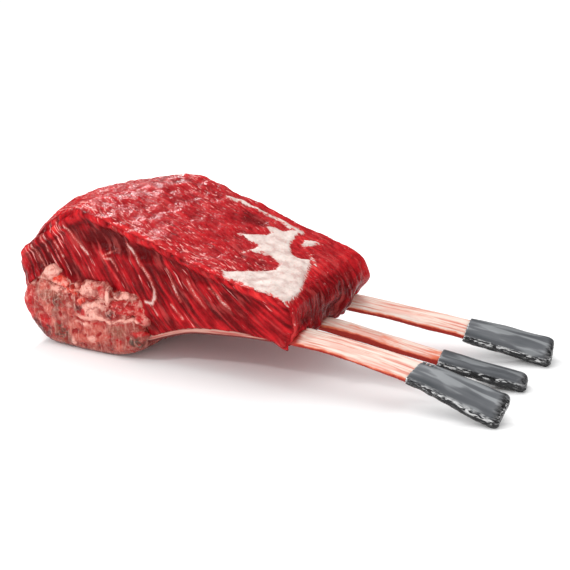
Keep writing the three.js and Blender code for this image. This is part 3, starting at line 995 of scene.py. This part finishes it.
def sleeve_finish():
    """Dark film with painted light: painted sheen on its smooth top, painted glints and shade in
    the creases along the side and at its closed end, painted shade underneath.
    """
    material, tree, shader = new_finish("dark_sleeve_film")
    fibre = stored(tree, "fibre", "Vector")
    crinkled = stored(tree, "crinkled")
    clouds = noise(tree, fibre, (12, 40, 12), 2.0)
    sheen_bands = noise(tree, fibre, (5, 70, 5), 1.0)
    creases = noise(tree, fibre, (2.2, 8.0, 2.0), 2.0, 0.5, 1.0)
    # painted sheen and reflection: the smooth film is lighter in long bands and clouds
    shine = calc(tree, "ADD", clouds, calc(tree, "MULTIPLY", sheen_bands, 0.8))
    smooth_film_and_sheen = scale_of(tree, shine, [
        (0.55, (0.055, 0.062, 0.070)), (0.90, (0.115, 0.120, 0.130)), (1.0, (0.25, 0.26, 0.27)),
    ])
    hollow = stored(tree, "hollow")
    # painted light in the creases: near black in their hollows, white glints on their ridges, grey
    # at the closed end
    painted_light = calc(tree, "MULTIPLY_ADD", hollow, -0.35, creases)
    creased_painted_light = scale_of(tree, painted_light, [
        (0.40, (0.004, 0.004, 0.005)), (0.56, (0.035, 0.036, 0.038)), (0.66, (0.60, 0.60, 0.60)),
    ])
    closed_end_painted_shade = scale_of(tree, painted_light, [(0.42, (0.006, 0.006, 0.007)), (0.72, (0.16, 0.16, 0.165))])
    colour = mixed(tree, crinkled, smooth_film_and_sheen, creased_painted_light)
    colour = mixed(tree, stored(tree, "closed"), colour, closed_end_painted_shade)
    tilt = stored(tree, "tilt")
    # painted shade: near black where the film faces down
    under = between(tree, calc(tree, "MULTIPLY_ADD", creases, 0.5, tilt), 0.32, 0.12)
    colour = mixed(tree, calc(tree, "MULTIPLY", under, 0.85), colour, rgb(0.008, 0.008, 0.009))
    # painted highlight: a white glinting line where the top turns into the creased side
    hem_highlight = calc(tree, "MULTIPLY", between(tree, tilt, 0.34, 0.46), between(tree, tilt, 0.70, 0.58))
    hem_highlight = calc(tree, "MULTIPLY", hem_highlight, between(tree, creases, 0.44, 0.54))
    hem_highlight = calc(tree, "MULTIPLY", hem_highlight, crinkled)
    colour = mixed(tree, hem_highlight, colour, rgb(0.85, 0.85, 0.85))
    tree.links.new(colour, shader.inputs["Base Color"])
    tree.links.new(calc(tree, "MULTIPLY_ADD", crinkled, -0.16, 0.34), shader.inputs["Roughness"])
    shader.inputs["Metallic"].default_value = 0.35
    fold = calc(tree, "MULTIPLY", creases, crinkled)
    wet(tree, shader, calc(tree, "MULTIPLY_ADD", clouds, 0.5, fold), 1.6)
    return material


# ---- the studio ----
SOFT_LIGHT = (0.30, -0.52, 0.80)  # where the soft light of the room is brightest


def make_studio():
    """A white floor, a soft bright room and a few lamps, small ones for the wet glints."""
    bpy.ops.object.select_all(action="DESELECT")
    bpy.ops.mesh.primitive_plane_add(size=24, location=(0, 0, 0))
    floor = bpy.context.active_object
    floor.name = "floor"
    material, tree, shader = new_finish("white_floor")
    shader.inputs["Base Color"].default_value = rgb(0.9, 0.9, 0.9)
    shader.inputs["Roughness"].default_value = 0.9
    shader.inputs["Specular IOR Level"].default_value = 0.1
    floor.data.materials.append(material)

    scene = bpy.context.scene
    world = bpy.data.worlds.new("studio")
    scene.world = world
    world.use_nodes = True
    tree = world.node_tree
    background = tree.nodes["Background"]
    direction = put(tree, "ShaderNodeTexCoord").outputs["Generated"]
    inputs = {0: direction, 1: SOFT_LIGHT}
    facing = put(tree, "ShaderNodeVectorMath", inputs, operation="DOT_PRODUCT")
    glow = put(tree, "ShaderNodeMapRange", {
        "Value": facing.outputs["Value"], "From Min": -0.3, "From Max": 1.0,
        "To Min": 0.48, "To Max": 1.20,
    }).outputs[0]
    dim = calc(tree, "MULTIPLY", glow, 0.25)
    path = put(tree, "ShaderNodeLightPath").outputs
    seen = put(tree, "ShaderNodeMix", {0: path["Is Glossy Ray"], 2: glow, 3: dim}).outputs[0]
    seen = put(tree, "ShaderNodeMix", {0: path["Is Camera Ray"], 2: seen, 3: 1.0}).outputs[0]
    tree.links.new(seen, background.inputs["Strength"])
    background.inputs["Color"].default_value = rgb(1, 1, 1)

    def lamp(name, kind, energy, direction, **settings):
        """Adds a lamp that shines from a place towards the middle of the part."""
        data = bpy.data.lights.new(name, kind)
        data.energy = energy
        for setting, value in settings.items():
            setattr(data, setting, value)
        lamp_object = bpy.data.objects.new(name, data)
        scene.collection.objects.link(lamp_object)
        lamp_object.location = Vector(direction)
        lamp_object.rotation_euler = Vector(direction).to_track_quat("Z", "Y").to_euler()

    lamp("overhead", "SUN", 1.0, (-0.35, 0.35, 1.4), angle=math.radians(60))
    lamp("glint_behind", "AREA", 6, (-0.70, 0.75, 0.75), shape="RECTANGLE", size=0.10, size_y=0.07)
    lamp("glint_left", "AREA", 3, (-0.65, -0.75, 0.65), shape="RECTANGLE", size=0.08, size_y=0.06)
    lamp("front_fill", "AREA", 5, (0.5, -1.5, 0.35), shape="RECTANGLE", size=1.6, size_y=0.7)
    scene.view_settings.view_transform = "Standard"


# the camera looks down a little, from the near side and the tips of the bones
AIM = Vector((17.6, -20.3, 70.9)) * MM
CAMERA_TURN = math.radians(28)
CAMERA_RISE = math.radians(19)
CAMERA_DISTANCE = 1.0262
LENS = 70


def make_camera():
    """The camera the scene is seen from."""
    data = bpy.data.cameras.new("camera")
    data.lens = LENS
    data.sensor_width = 36
    camera = bpy.data.objects.new("camera", data)
    bpy.context.scene.collection.objects.link(camera)
    level = math.cos(CAMERA_RISE)
    back = Vector((
        math.sin(CAMERA_TURN) * level,
        -math.cos(CAMERA_TURN) * level,
        math.sin(CAMERA_RISE),
    ))
    camera.location = AIM + back * CAMERA_DISTANCE
    camera.rotation_euler = back.to_track_quat("Z", "Y").to_euler()
    bpy.context.scene.camera = camera


make_camera()
make_studio()
make_meat(meat_finish())
make_backbone(backbone_finish())
bone_material = bone_finish()
sleeve_material = sleeve_finish()
for number, (rib, leaves_meat, painted_light) in enumerate(RIBS):
    make_bone(rib, 31 + 5 * number, leaves_meat, painted_light, bone_material)
    make_sleeve(rib, 61 + 5 * number, sleeve_material)
